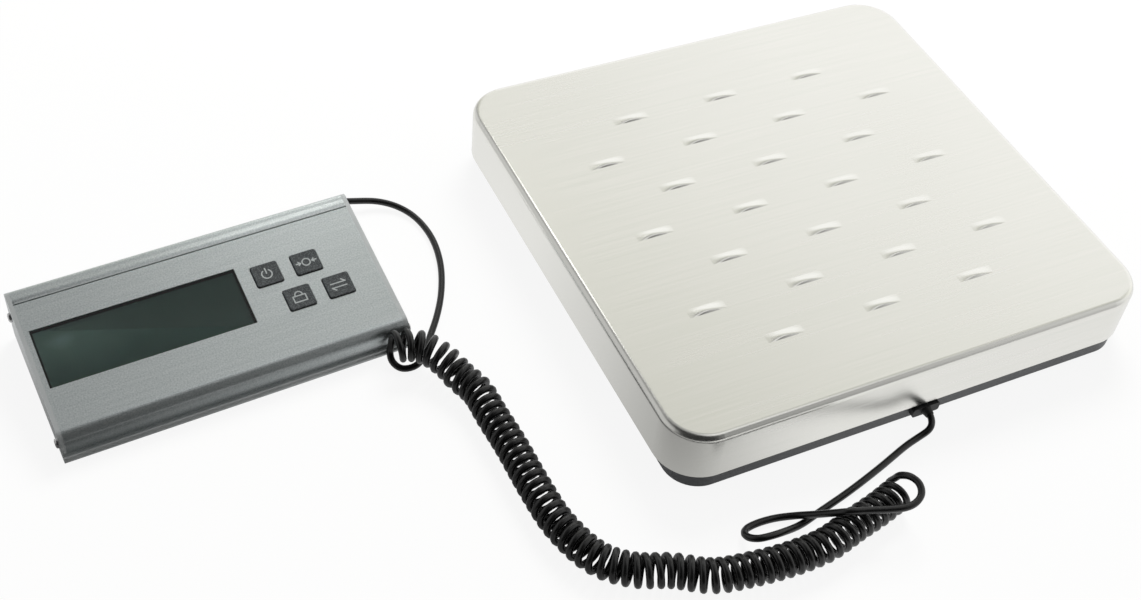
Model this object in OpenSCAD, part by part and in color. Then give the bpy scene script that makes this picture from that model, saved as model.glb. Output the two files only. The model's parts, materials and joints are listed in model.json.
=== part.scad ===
// Digital platform scale: a low steel-covered weighing platform with load cells
// in its corners, and a separate sloping display unit on a curly cord.
// Millimetres, +Z up, the floor at z = 0, the display unit on the left (-X) and
// the user in front (-Y).

/* [Platform cover] */
// Width of the pressed cover, left to right
cover_w = 310; // [270:5:340]
// Depth of the pressed cover, front to back
cover_d = 300; // [260:5:330]
// Height of the weighing face above the floor
cover_top = 45.5; // [44:0.5:60]
// Height of the cover's side wall
cover_skirt = 33; // [28:0.5:36]
// Sheet thickness of the cover
cover_t = 1; // [0.8:0.1:1.3]
// Corner radius of the cover seen from above
cover_corner = 26; // [18:1:36]
// Rounding between the weighing face and the side walls
cover_round = 4; // [2.5:0.5:6]

/* [Grip marks] */
// Length of one raised grip mark
mark_l = 24; // [16:1:30]
// Width of one raised grip mark
mark_w = 6; // [4:0.5:8]
// Height of a grip mark above the face
mark_h = 0.9; // [0.5:0.1:1.4]
// Rows of grip marks, front to back
mark_rows = 7; // [3:1:7]
// Distance between rows, which is also half the distance along a row
mark_pitch = 32; // [26:1:34]

/* [Deck] */
// Thickness of the moulded deck under the cover
deck_t = 2.5; // [2:0.5:4]
// Depth of the deck's stiffening ribs
deck_rib_h = 10; // [6:1:10]
// Thickness of the deck's ribs and rim
deck_rib_t = 2; // [1.6:0.2:3]
// Height of the deck's rim
deck_rim_h = 12; // [8:1:12]
// Side clearance between the deck's rim and the cover
deck_gap = 0.5; // [0.3:0.1:1.5]
// Diameter of a pad that bears on a load cell
pad_d = 16; // [12:1:20]

/* [Base tray] */
// How far the tray is set in from the cover at the left and right
tray_inset_x = 4.8; // [2:0.2:8]
// How far the tray is set in from the cover at the front and back
tray_inset_y = 1.5; // [1.5:0.1:4]
// Thickness of the tray's floor
tray_floor = 2; // [1.5:0.25:3]
// Thickness of the tray's wall
tray_wall = 2.5; // [2:0.25:3]
// Height of the tray's wall
tray_h = 17; // [14:1:18]
// Corner radius of the tray seen from above
tray_corner = 20; // [14:1:24]
// Height of the ribs on the tray's floor
tray_rib_h = 6; // [3:1:9]
// Thickness of those ribs
tray_rib_t = 2; // [1.5:0.25:3]
// Height of a rubber foot below the tray
foot_h = 2.5; // [2:0.25:4]
// Diameter of a rubber foot
foot_d = 26; // [20:1:30]

/* [Load cells] */
// Side of a square load cell
cell_w = 34; // [34:1:40]
// Thickness of a load cell
cell_t = 3; // [2.5:0.25:4]
// Height of the pedestal that carries a load cell
pedestal_h = 17.5; // [12:0.5:18]
// Height of the load button on a cell
button_h = 4; // [3:0.25:4.5]
// Distance from a tray corner's sides to a cell's middle
cell_inset = 32; // [28:1:40]
// Rest gap between a load button and the deck's pad
pad_gap = 0.3; // [0.3:0.05:0.5]

/* [Display unit] */
// Width of the display unit with its end caps
unit_w = 198.5; // [196:0.5:230]
// Depth of the display unit's base, front lip included
unit_d = 100.5; // [98:0.5:120]
// Height of the sloping face at its back edge
face_h = 38; // [37:0.5:48]
// Slope of the face, falling to the front
face_slope = 11; // [7:0.5:12]
// Radius of the rounded nose in front of the face
nose_r = 8; // [6:0.5:9]
// Wall thickness of the aluminium housing
wall = 2; // [1.6:0.1:2.2]
// Thickness of an end cap
cap_t = 2.5; // [2:0.25:4]
// Thickness of the base plate
plate_t = 4; // [3.5:0.25:5]
// How far the base plate stands out in front of the nose
lip = 3.5; // [2:0.5:6]
// Height of a display foot
unit_foot_h = 2.5; // [2:0.25:4]
// Diameter of a display foot
unit_foot_d = 10; // [8:1:12]

/* [Display window] */
// Distance from the unit's left end to the window
window_margin = 5.2; // [5:0.1:8]
// Distance from the window to the first key
key_margin = 8.2; // [7.5:0.1:12]
// Distance from the last key to the unit's right end
end_margin = 19.7; // [18:0.1:26]
// Height of the window, along the slope
window_h = 38; // [30:1:40]
// Middle of the window, down the slope from the back edge
window_v = 48.6; // [47:0.2:50]
// Thickness of the display module
lcd_t = 3.4; // [2.5:0.1:3.4]

/* [Keys] */
// Width of a key
key_w = 15.5; // [12:0.5:17]
// Height of a key, along the slope
key_h = 14.4; // [10:0.2:15]
// Corner radius of a key
key_corner = 1.5; // [0.5:0.25:3]
// How far a key stands out of the face
key_rise = 1; // [0.4:0.1:1.5]
// Distance between two keys of a row
key_pitch = 23.5; // [20:0.5:24]
// Distance between the two rows of keys
key_row = 20.8; // [19:0.2:22]
// Travel of a key
key_travel = 0.9; // [0.4:0.1:1]

/* [Batteries] */
// Diameter of a battery cell
battery_d = 14.2; // [13.5:0.1:14.5]
// Length of a battery cell, contact nub included
battery_l = 50.5; // [44.5:0.5:51]
// Thickness of the battery door
door_t = 1.8; // [1.4:0.1:2]

/* [Cord] */
// Diameter of the cord
cord_d = 4; // [3.2:0.1:4.1]
// Radius of the curls, measured to the middle of the cord
curl_r = 7.5; // [6:0.1:7.6]
// Number of curls
curls = 64; // [40:1:66]

/* [Hidden] */

$fn = 48;
// Overshoot of a cut past the face that it opens
eps = 0.5;

// Where the two units stand: the middle of the whole, without the cord, is at x = 0
platform_x = 147.2;
platform_y = 0.75;
display_x = -199;
display_y = 46.25;
display_turn = 3;

// Corner signs in the order back right, back left, front left, front right
corners = [[1, 1], [-1, 1], [-1, -1], [1, -1]];

// Platform heights and half sizes
skirt_bottom = cover_top - cover_skirt;
tray_w = cover_w - 2 * tray_inset_x;
tray_d = cover_d - 2 * tray_inset_y;
tray_top = foot_h + tray_h;
floor_top = foot_h + tray_floor;
cell_z = floor_top + pedestal_h;
button_top = cell_z + cell_t + button_h;
deck_top = cover_top - cover_t;
deck_under = deck_top - deck_t;
cell_x = tray_w / 2 - cell_inset;
cell_y = tray_d / 2 - cell_inset;
button_d = 8;
foot_plug_r = 3;
// The frame round a load cell's tongue, and the slot beside the tongue
cell_frame = 7;
cell_slot = 4;
cell_screw_x = cell_w / 2 - cell_frame / 2;
// Small screws: radius of the shank, of its clearance hole, and of the head
screw_r = 1.45;
thread_r = 1.5;
hole_r = 1.65;
head_r = 2.8;
head_h = 1.8;
cell_screw_l = 10;
// The grip marks' pattern sits a little in front of the middle
marks_forward = 3.3;

// Junction board, in the middle of the tray
junction_w = 60;
junction_d = 32;
board_t = 1.6;
junction_post_h = 5;
junction_post_r = 3;
junction_screw_x = junction_w / 2 - 5;
junction_z = floor_top + junction_post_h;
// Plugs and chips on the boards
plug_d = 5;
plug_h = 5;
chip_d = 8;
chip_h = 1.5;

// Cord gland in the tray's front wall: its middle, its head and its neck
gland_x = 6;
gland_w = 18;
gland_h = 6.5;
gland_out = 3;
gland_neck_w = 13;
gland_neck_h = 4.4;
gland_z = floor_top + gland_h / 2 - 0.4;
gland_corner = 1.6;
gland_inner_t = 2;
gland_gap = 0.1;

// Display unit, in its own axes: x across, y to the back, z up
unit_back = unit_d / 2;
unit_front = -unit_d / 2;
nose_y = unit_front + lip;
plate_z = unit_foot_h;
plate_top = plate_z + plate_t;
housing_w = unit_w - 2 * cap_t;
back_r = 3;
// Grooves across the ledge behind the window
groove_v = 10.4;
groove_w = 1.6;
groove_h = 0.9;
// Inward flanges at the foot of the housing's walls
flange_w = 7;
flange_t = 2.5;
// Screw ports inside the housing, for the end caps: how far each one's middle stands
// in from the back wall or the nose, and above the base plate
port_r = 3.4;
port_back_in = 8.5;
port_back_up = 18.6;
port_nose_in = 4.6;
port_nose_up = 5.4;
ports = [[unit_back - port_back_in, plate_top + port_back_up],
    [nose_y + port_nose_in, plate_top + port_nose_up]];
port_web = 2;
cap_screw_l = 12;
plate_screw_x = unit_w / 2 - 9;
plate_screw_in = 6.5;
unit_foot_x = unit_w / 2 - 21;
unit_foot_y = unit_d / 2 - 10;

// Depths below the face: window pane, display module and board
pane_recess = 0.3;
pane_gap = 0.2;
pane_edge = 1.5;
pane_edge_t = 0.8;
lcd_z = -wall - pane_edge_t;
board_z = lcd_z - lcd_t;
// Side clearance between the board and the end caps
board_gap = 3.75;
board_w = housing_w - 2 * board_gap;
board_back_v = 20.5;
board_front_v = 78.5;
stud_x = board_w / 2 - 5;
stud_in = 3.5;
stud_r = 2.6;

// Window and keys share the face: the window takes what the keys and margins leave.
// The front row of keys stands further right than the back row.
key_shift = 11.4;
last_key_x = unit_w / 2 - end_margin - key_w / 2;
key_left = [last_key_x - key_shift - key_pitch, last_key_x - key_pitch];
key_back_v = 39.8;
window_left = -unit_w / 2 + window_margin;
window_right = key_left[0] - key_w / 2 - key_margin;
window_w = window_right - window_left;
window_x = -(window_left + window_right) / 2;

// The flange that keeps a key in
key_gap = 0.35;
key_flange = 1;
key_flange_t = 0.8;
key_seat = 0.3;
key_stem_r = 3;
key_stop = 0.1;
dome_r = 3.5;
dome_h = 0.5;

// Battery bay: two rows of two cells, open to the door below
bay_wall = 1.5;
bay_room = 0.4;
contact_t = 0.6;
contact_w = battery_d * 0.56;
bay_half = battery_l + 0.5 + contact_t * 2 + bay_room * 2;
bay_depth = 2 * battery_d + 3 * bay_room;
bay_back_in = 9.5;
bay_back = unit_back - bay_back_in;
bay_front = bay_back - bay_depth - 2 * bay_wall;
battery_z = plate_z + 2.5 + battery_d / 2;
bay_top = battery_z + battery_d / 2 + bay_room;
nub_r = 2.7;
nub_h = 1;
door_gap = 0.3;
door_half = bay_half + 3;
door_slant = 1;
door_z = plate_z + 0.1;
door_front = bay_front - 3;
// Grip grooves across the door, near its back edge
door_grip_in = 5.4;
door_grip_pitch = 3;
door_grip_w = 24;
door_grip_h = 0.5;

// Display gland in the housing's back wall
unit_gland_x = unit_w / 2 - 19.2;
unit_gland_z = plate_top + 7;
unit_gland_r = 3.4;
unit_gland_head_r = 4.6;
unit_gland_head_t = 2;
unit_gland_tail_l = 8;
unit_gland_tail_r = 3;

// A point of the display unit's axes, in the part's axes
function from_unit(p) = [
    display_x + p.x * cos(display_turn) - p.y * sin(display_turn),
    display_y + p.x * sin(display_turn) + p.y * cos(display_turn),
    p.z];
function turned(v) = from_unit(v) - from_unit([0, 0, 0]);

// Points of an arc, from angle a to angle b
function arc(middle, r, a, b, steps = 10) =
    [for (i = [0:steps]) middle + r * [cos(a + (b - a) * i / steps), sin(a + (b - a) * i / steps)]];

// Height of the face above a depth y
function face_z(y) = face_h - tan(face_slope) * (unit_back - y);

// Outline of the housing in (y, z), drawn in by t, down to the level z
function housing_outline(t, z) =
    let (back = [unit_back - back_r, face_z(unit_back - back_r) - back_r / cos(face_slope)],
        nose = [nose_y + nose_r, face_z(nose_y + nose_r) - nose_r / cos(face_slope)])
    concat([[unit_back - t, z]],
        arc(back, back_r - t, 0, 90 + face_slope, 6),
        arc(nose, nose_r - t, 90 + face_slope, 180, 12),
        [[nose_y + t, z]]);

module at_platform() {
    translate([platform_x, platform_y, 0]) children();
}

module at_display() {
    translate([display_x, display_y, 0]) rotate([0, 0, display_turn]) children();
}

// On the sloping face: x across, -y down the slope from the back edge, z out of the face
module on_face(x = 0, v = 0) {
    translate([0, unit_back, face_h]) rotate([face_slope, 0, 0]) translate([x, -v, 0]) children();
}

// An outline in (y, z) drawn out along x, centred
module across(width) {
    rotate([90, 0, 90]) translate([0, 0, -width / 2]) linear_extrude(width) children();
}

module rounded_rect(w, d, r) {
    square([w - 2 * r, d], center = true);
    square([w, d - 2 * r], center = true);
    for (c = corners) translate([c.x * (w / 2 - r), c.y * (d / 2 - r)]) circle(r);
}

module rounded_slab(w, d, r, z, h) {
    translate([0, 0, z]) linear_extrude(h) rounded_rect(w, d, r);
}

// Section through the cover's edge: x from the corner's axis out to the wall
module cover_section() {
    difference() {
        cover_edge(cover_corner, cover_top, cover_round);
        cover_edge(cover_corner - cover_t, cover_top - cover_t, cover_round - cover_t);
        translate([-eps, -eps]) square([cover_corner * 2, skirt_bottom + eps]);
    }
}

module cover_edge(x, top, r) {
    square([x, top - r]);
    square([x - r, top]);
    translate([x - r, top - r]) circle(r);
}

// One straight side of the cover, with its wall towards +x
module cover_side(length, reach) {
    translate([reach - cover_corner, length / 2, 0]) rotate([90, 0, 0])
        linear_extrude(length) cover_section();
}

// A raised lens: a slim spindle lying along x, its back above the sheet
module grip_mark() {
    half = mark_l / 2;
    rise = mark_w / 2;
    r = (half * half + rise * rise) / (2 * rise);
    translate([0, 0, cover_top + mark_h - rise]) rotate([0, 90, 0])
        rotate_extrude() intersection() {
            translate([rise - r, 0]) circle(r, $fn = 200);
            translate([0, -half]) square([rise, mark_l]);
        }
}

module platform_cover() {
    straight_x = cover_w - 2 * cover_corner;
    straight_y = cover_d - 2 * cover_corner;
    color("gainsboro") at_platform() {
        for (i = [0:3])
            translate([corners[i].x * straight_x / 2, corners[i].y * straight_y / 2, 0])
                rotate([0, 0, 90 * i]) rotate_extrude(angle = 90) cover_section();
        for (side = [0, 180]) {
            rotate([0, 0, side]) cover_side(straight_y, cover_w / 2);
            rotate([0, 0, side + 90]) cover_side(straight_x, cover_d / 2);
        }
        translate([-straight_x / 2, -straight_y / 2, cover_top - cover_t])
            cube([straight_x, straight_y, cover_t]);
        intersection() {
            for (row = [0:mark_rows - 1])
                for (i = [0:2 + row % 2])
                    translate([(2 * i - 2 - row % 2) * mark_pitch,
                        (row - (mark_rows - 1) / 2) * mark_pitch - marks_forward, 0]) grip_mark();
            translate([-cover_w / 2, -cover_d / 2, cover_top - cover_t / 2])
                cube([cover_w, cover_d, cover_t / 2 + mark_h + eps]);
        }
    }
}

// The moulded deck: a plate under the cover's face, with a rim, ribs and four pads
module platform_deck() {
    rim_w = cover_w - 2 * (cover_t + deck_gap);
    rim_d = cover_d - 2 * (cover_t + deck_gap);
    rim_corner = cover_corner - cover_t - deck_gap;
    plate_in = cover_round - cover_t;
    color("dimgray") at_platform() {
        rounded_slab(rim_w - 2 * plate_in, rim_d - 2 * plate_in, rim_corner - plate_in, deck_under, deck_t);
        difference() {
            rounded_slab(rim_w, rim_d, rim_corner, deck_under - deck_rim_h, deck_rim_h);
            rounded_slab(rim_w - 2 * plate_in - 2 * deck_rib_t, rim_d - 2 * plate_in - 2 * deck_rib_t,
                rim_corner - plate_in - deck_rib_t, deck_under - deck_rim_h - eps, deck_rim_h + eps);
        }
        for (i = [-2:2]) {
            translate([i * rim_w / 6 - deck_rib_t / 2, 1 - rim_d / 2 + plate_in, deck_under - deck_rib_h])
                cube([deck_rib_t, rim_d - 2 - 2 * plate_in, deck_rib_h]);
            translate([1 - rim_w / 2 + plate_in, i * rim_d / 6 - deck_rib_t / 2, deck_under - deck_rib_h])
                cube([rim_w - 2 - 2 * plate_in, deck_rib_t, deck_rib_h]);
        }
        for (c = corners) translate([c.x * cell_x, c.y * cell_y, button_top + pad_gap])
            cylinder(d = pad_d, h = deck_under - button_top - pad_gap);
    }
}

module base_tray() {
    inner_w = tray_w - 2 * tray_wall;
    inner_d = tray_d - 2 * tray_wall;
    color("dimgray") at_platform() difference() {
        union() {
            difference() {
                rounded_slab(tray_w, tray_d, tray_corner, foot_h, tray_h);
                rounded_slab(inner_w, inner_d, tray_corner - tray_wall, floor_top, tray_h);
            }
            for (i = [-1, 1]) {
                translate([i * tray_w / 5, 0, floor_top - eps])
                    linear_extrude(tray_rib_h + eps) square([tray_rib_t, tray_d - tray_wall], center = true);
                translate([0, i * tray_d / 5, floor_top - eps])
                    linear_extrude(tray_rib_h + eps) square([tray_w - tray_wall, tray_rib_t], center = true);
                translate([i * junction_screw_x, 0, floor_top - eps])
                    cylinder(r = junction_post_r, h = junction_post_h + eps);
            }
            for (c = corners) translate([c.x * cell_x, c.y * cell_y, floor_top - eps])
                linear_extrude(pedestal_h + eps) square(cell_w, center = true);
        }
        for (c = corners) translate([c.x * cell_x, c.y * cell_y, 0]) {
            translate([0, 0, floor_top]) linear_extrude(pedestal_h + eps)
                square(cell_w - 2 * cell_frame, center = true);
            translate([0, 0, foot_h - eps]) cylinder(r = foot_plug_r, h = tray_floor + 2 * eps);
            for (s = [-1, 1]) translate([s * cell_screw_x, 0, cell_z - cell_screw_l])
                cylinder(r = thread_r, h = cell_screw_l + eps);
        }
        for (s = [-1, 1]) translate([s * junction_screw_x, 0, floor_top + 1])
            cylinder(r = thread_r, h = junction_post_h);
        translate([gland_x, -tray_d / 2 + tray_wall / 2, gland_z])
            cube([gland_neck_w, tray_wall + 2 * eps, gland_neck_h], center = true);
    }
}

// A square sensor plate whose middle tongue carries the load button
module load_cell(i) {
    window = cell_w - 2 * cell_frame;
    tongue_w = window - 2 * cell_slot;
    color("silver") at_platform() translate([corners[i].x * cell_x, corners[i].y * cell_y, cell_z]) {
        difference() {
            linear_extrude(cell_t) {
                difference() {
                    square(cell_w, center = true);
                    square(window, center = true);
                }
                translate([-tongue_w / 2, -window / 2 + cell_slot])
                    square([tongue_w, window - cell_slot + 1]);
            }
            for (s = [-1, 1]) translate([s * cell_screw_x, 0, -eps])
                cylinder(r = hole_r, h = cell_t + 2 * eps);
        }
        translate([0, 0, cell_t - eps]) cylinder(d = button_d, h = button_h + eps);
    }
}

module pan_head_screw(length) {
    cylinder(r = head_r, h = head_h);
    translate([0, 0, -length]) cylinder(r = screw_r, h = length + eps);
}

module load_cell_screws() {
    color("silver") at_platform()
        for (c = corners, s = [-1, 1])
            translate([c.x * cell_x + s * cell_screw_x, c.y * cell_y, cell_z + cell_t])
                pan_head_screw(cell_screw_l);
}

module foot(i) {
    color("black") at_platform() translate([corners[i].x * cell_x, corners[i].y * cell_y, 0]) {
        cylinder(d = foot_d, h = foot_h);
        cylinder(r = foot_plug_r - 0.05, h = foot_h + tray_floor - 0.2);
    }
}

// A plug or chip on the upper side of a board
module chip(w, d, h) {
    translate([0, 0, board_t - eps]) linear_extrude(h + eps) square([w, d], center = true);
}

module junction_board() {
    color("darkgreen") at_platform() translate([0, 0, junction_z]) {
        difference() {
            translate([-junction_w / 2, -junction_d / 2, 0]) cube([junction_w, junction_d, board_t]);
            for (s = [-1, 1]) translate([s * junction_screw_x, 0, -eps])
                cylinder(r = hole_r, h = board_t + 2 * eps);
        }
        for (i = [-1, 1]) translate([i * junction_w / 5, plug_d - junction_d / 2, 0])
            chip(junction_w / 6, plug_d, plug_h);
        translate([0, junction_d / 5, 0]) chip(junction_w / 5, chip_d, chip_h);
    }
}

module junction_screws() {
    color("silver") at_platform()
        for (s = [-1, 1]) translate([s * junction_screw_x, 0, junction_z + board_t])
            pan_head_screw(junction_post_h);
}

// Rubber gland: a head outside the tray's wall, a neck in it and a head inside
module base_gland() {
    outer = -tray_d / 2;
    color("black") at_platform() translate([gland_x, 0, gland_z]) rotate([90, 0, 0]) {
        translate([0, 0, -outer]) linear_extrude(gland_out) rounded_rect(gland_w, gland_h, gland_corner);
        translate([-gland_neck_w / 2, -gland_neck_h / 2, -outer - tray_wall])
            cube([gland_neck_w, gland_neck_h, tray_wall + gland_out / 2]);
        translate([-gland_w / 2, floor_top + gland_gap - gland_z, -outer - tray_wall - gland_inner_t])
            cube([gland_w, gland_z + gland_h / 2 - floor_top - gland_gap, gland_inner_t]);
    }
}

// The extruded housing: sloping face, rounded nose, flanges, screw ports and studs
module display_housing() {
    color("lightsteelblue") at_display() difference() {
        union() {
            across(housing_w) difference() {
                polygon(housing_outline(0, plate_top));
                polygon(housing_outline(wall, plate_top - eps));
            }
            across(housing_w) difference() {
                union() {
                    translate([unit_back - wall - flange_w, plate_top]) square([flange_w + wall / 2, flange_t]);
                    translate([nose_y + wall / 2, plate_top]) square([flange_w + wall / 2, flange_t]);
                    translate([ports[0].x, ports[0].y - port_web / 2])
                        square([unit_back - wall / 2 - ports[0].x, port_web]);
                    for (p = ports) translate(p) circle(port_r);
                }
                for (p = ports) translate(p) circle(thread_r);
            }
            for (s = [-1, 1], v = stud_rows()) on_face(s * stud_x, v)
                translate([0, 0, board_z]) cylinder(r = stud_r, h = -board_z - wall / 2);
        }
        on_face(-window_x, window_v) translate([-window_w / 2, -window_h / 2, -wall - eps])
            cube([window_w, window_h, wall + 2 * eps]);
        for (i = [0:3]) on_face(key_place(i).x, key_place(i).y) translate([0, 0, -wall - eps])
            linear_extrude(wall + 2 * eps) rounded_rect(key_w + 2 * key_gap, key_h + 2 * key_gap, key_corner);
        on_face(0, groove_v) translate([-unit_w / 2, -groove_w / 2, -groove_h])
            cube([unit_w, groove_w, groove_h + eps]);
        for (s = [-1, 1], v = stud_rows()) on_face(s * stud_x, v)
            translate([0, 0, board_z - eps]) cylinder(r = thread_r, h = lcd_t + eps);
        for (s = [-1, 1], y = plate_screw_ys()) translate([s * plate_screw_x, y, plate_top - eps])
            cylinder(r = thread_r, h = flange_t + eps);
        translate([unit_gland_x, unit_back + eps, unit_gland_z]) rotate([90, 0, 0])
            cylinder(r = unit_gland_r + 0.05, h = wall + 2 * eps);
    }
}

function stud_rows() = [board_back_v + stud_in, board_front_v - stud_in];
function plate_screw_ys() = [unit_back - plate_screw_in, nose_y + plate_screw_in];

// Middle of key i: across the unit, and down the slope
function key_place(i) = [key_left[floor(i / 2)] + (i % 2) * key_pitch, key_back_v + floor(i / 2) * key_row];

module end_cap(side) {
    color("silver") at_display() translate([side * (unit_w - cap_t) / 2, 0, 0]) difference() {
        across(cap_t) polygon(housing_outline(0, plate_top));
        for (p = ports) translate([0, p.x, p.y]) rotate([0, 90, 0])
            cylinder(r = hole_r, h = cap_t + 2 * eps, center = true);
    }
}

module end_cap_screws() {
    color("dimgray") at_display()
        for (side = [-1, 1], p = ports) translate([side * unit_w / 2, p.x, p.y])
            rotate([0, side * 90, 0]) pan_head_screw(cap_screw_l);
}

// The base plate, its front edge rounded, with the door's undercut recess and the battery bay
module display_base() {
    edge = plate_t / 2;
    rail = door_half + door_gap;
    color("silver") at_display() difference() {
        union() {
            across(unit_w) {
                translate([unit_front + edge, plate_z]) square([unit_d - edge, plate_t]);
                translate([unit_front + edge, plate_z + edge]) circle(edge);
            }
            translate([-bay_half - bay_wall, bay_front, plate_top - eps])
                cube([2 * (bay_half + bay_wall), bay_back - bay_front, bay_top + bay_wall - plate_top + eps]);
        }
        for (s = [-1, 1]) translate([s * (bay_half / 2 + 0.25), (bay_back + bay_front) / 2, plate_z])
            linear_extrude(bay_top - plate_z) square([bay_half - 0.5, bay_depth], center = true);
        translate([0, door_front - door_gap, 0]) rotate([-90, 0, 0])
            linear_extrude(unit_back - door_front + door_gap + eps)
                polygon([[-rail, eps - plate_z], [rail, eps - plate_z], [rail, -door_z],
                    [rail + door_slant, -door_z - door_t - 0.2], [-rail - door_slant, -door_z - door_t - 0.2],
                    [-rail, -door_z]]);
        for (s = [-1, 1], y = plate_screw_ys()) translate([s * plate_screw_x, y, 0]) {
            translate([0, 0, plate_z - eps]) cylinder(r = hole_r, h = plate_t + 2 * eps);
            translate([0, 0, plate_z - eps]) cylinder(r = head_r + 0.3, h = head_h + 0.2 + eps);
        }
    }
}

module display_base_screws() {
    color("dimgray") at_display()
        for (s = [-1, 1], y = plate_screw_ys()) translate([s * plate_screw_x, y, plate_z + 0.2 + head_h])
            mirror([0, 0, 1]) pan_head_screw(plate_t - 0.2 - head_h + flange_t - 0.2);
}

module display_foot(i) {
    color("black") at_display()
        translate([corners[i].x * unit_foot_x, corners[i].y * unit_foot_y, 0])
            cylinder(d = unit_foot_d, h = unit_foot_h);
}

// A dovetailed door that slides out at the back
module battery_door() {
    color("silver") at_display() translate([0, door_front, 0]) difference() {
        rotate([-90, 0, 0]) linear_extrude(unit_back - door_front)
            polygon([[-door_half, -door_z], [door_half, -door_z],
                [door_half + door_slant, -door_z - door_t], [-door_half - door_slant, -door_z - door_t]]);
        for (i = [0:3]) translate([0, unit_back - door_front - door_grip_in - door_grip_pitch * i, door_z - eps])
            linear_extrude(door_grip_h + eps) square([door_grip_w, door_grip_pitch * 0.4], center = true);
    }
}

// Cells 1 and 2 lie in the back row, 3 and 4 in the front row
module battery(i) {
    side = i % 2 == 0 ? -1 : 1;
    row = i < 2 ? 0 : 1;
    y = bay_back - bay_wall - bay_room - battery_d / 2 - row * (battery_d + bay_room);
    turn = row == 0 ? 90 : -90;
    color("goldenrod") at_display() translate([side * (bay_half / 2 + 0.25), y, battery_z])
        rotate([0, turn, 0]) {
            translate([0, 0, -battery_l / 2]) cylinder(d = battery_d, h = battery_l - nub_h);
            translate([0, 0, battery_l / 2 - nub_h - eps]) cylinder(r = nub_r, h = nub_h + eps);
        }
}

module battery_contacts() {
    color("silver") at_display()
        for (x = [-bay_half, -0.5 - contact_t, 0.5, bay_half - contact_t], row = [0, 1])
            translate([x, bay_back - bay_wall - bay_room - battery_d / 2 - row * (battery_d + bay_room),
                battery_z]) rotate([90, 0, 90]) linear_extrude(contact_t) square(contact_w, center = true);
}

module display_board() {
    color("darkgreen") at_display() difference() {
        union() {
            on_face(0, board_front_v) translate([-board_w / 2, 0, board_z - board_t])
                cube([board_w, board_front_v - board_back_v, board_t]);
            on_face(key_left[0] + key_pitch, board_front_v - chip_d) translate([0, 0, board_z - board_t])
                mirror([0, 0, 1]) chip(chip_d * 1.5, chip_d, chip_h);
            on_face(board_w / 2 - 3 * plug_d, board_front_v - 3 * plug_d) translate([0, 0, board_z - board_t])
                mirror([0, 0, 1]) chip(plug_d, 3 * plug_d, plug_h);
        }
        for (s = [-1, 1], v = stud_rows()) on_face(s * stud_x, v)
            translate([0, 0, board_z - board_t - eps]) cylinder(r = hole_r, h = board_t + 2 * eps);
    }
}

module display_board_screws() {
    color("silver") at_display()
        for (s = [-1, 1], v = stud_rows()) on_face(s * stud_x, v)
            translate([0, 0, board_z - board_t]) mirror([0, 0, 1]) pan_head_screw(board_t + lcd_t - 0.5);
}

module lcd_module() {
    module_w = window_w + 2 * pane_edge;
    module_h = window_h + 2 * pane_edge;
    color("darkslategray") at_display() on_face(-window_x, window_v)
        translate([-module_w / 2, -module_h / 2, board_z]) cube([module_w, module_h, lcd_t]);
}

module lcd_window() {
    pane_w = window_w - 2 * pane_gap;
    pane_h = window_h - 2 * pane_gap;
    edge_w = window_w + 2 * pane_edge;
    edge_h = window_h + 2 * pane_edge;
    color("slategray", 0.5) at_display() on_face(-window_x, window_v) {
        translate([-pane_w / 2, -pane_h / 2, lcd_z]) cube([pane_w, pane_h, -lcd_z - pane_recess]);
        translate([-edge_w / 2, -edge_h / 2, lcd_z]) cube([edge_w, edge_h, pane_edge_t]);
    }
}

// A key: the cap that shows, a flange that holds it in and a stem over its contact
module key(i) {
    top = -wall - key_seat;
    stem_end = board_z + dome_h + key_travel + key_stop;
    color("dimgray") at_display() on_face(key_place(i).x, key_place(i).y) {
        translate([0, 0, top - key_flange_t]) linear_extrude(key_rise - top + key_flange_t)
            rounded_rect(key_w, key_h, key_corner);
        translate([0, 0, top - key_flange_t]) linear_extrude(key_flange_t)
            rounded_rect(key_w + 2 * key_flange, key_h + 2 * key_flange, key_corner + key_flange);
        translate([0, 0, stem_end]) cylinder(r = key_stem_r, h = top - stem_end);
    }
}

// Spring domes on the board, one under each key's stem
module key_domes() {
    color("silver") at_display()
        for (i = [0:3]) on_face(key_place(i).x, key_place(i).y)
            translate([0, 0, board_z]) cylinder(r = dome_r, h = dome_h);
}

module display_gland() {
    color("black") at_display() translate([unit_gland_x, unit_back, unit_gland_z]) rotate([-90, 0, 0]) {
        translate([0, 0, -wall - 1.5]) cylinder(r = unit_gland_r, h = wall + 1.5 + eps);
        cylinder(r = unit_gland_head_r, h = unit_gland_head_t);
        cylinder(r = unit_gland_tail_r, h = unit_gland_tail_l);
    }
}

// Cord geometry. A route is a list of points, measured from the middle of the platform's foot;
// a spline runs through them.
cord_origin = [platform_x, platform_y, 0];

function unit(v) = v / norm(v);

// Point on the spline between b and c, with a before and d after
function between(a, b, c, d, t) =
    0.5 * (2 * b + (c - a) * t + (2 * a - 5 * b + 4 * c - d) * t * t + (3 * b - a - 3 * c + d) * t * t * t);

// The whole spline, with steps points to each stretch of the route
function spline(p, steps) =
    let (n = len(p) - 1, q = concat([2 * p[0] - p[1]], p, [2 * p[n] - p[n - 1]]))
    concat([for (i = [0:n - 1], k = [0:steps - 1]) between(q[i], q[i + 1], q[i + 2], q[i + 3], k / steps)],
        [p[n]]);

function tangents(p) =
    let (n = len(p) - 1)
    [for (i = [0:n]) unit(p[min(i + 1, n)] - p[max(i - 1, 0)])];

// A direction square to each tangent, carried along without twisting
function carried(t, first) =
    [for (i = 0, v = square_to(first, t[0]); i < len(t);
        i = i + 1, v = i < len(t) ? square_to(v, t[i]) : v) v];

function square_to(v, t) = unit(v - (v * t) * t);

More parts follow.
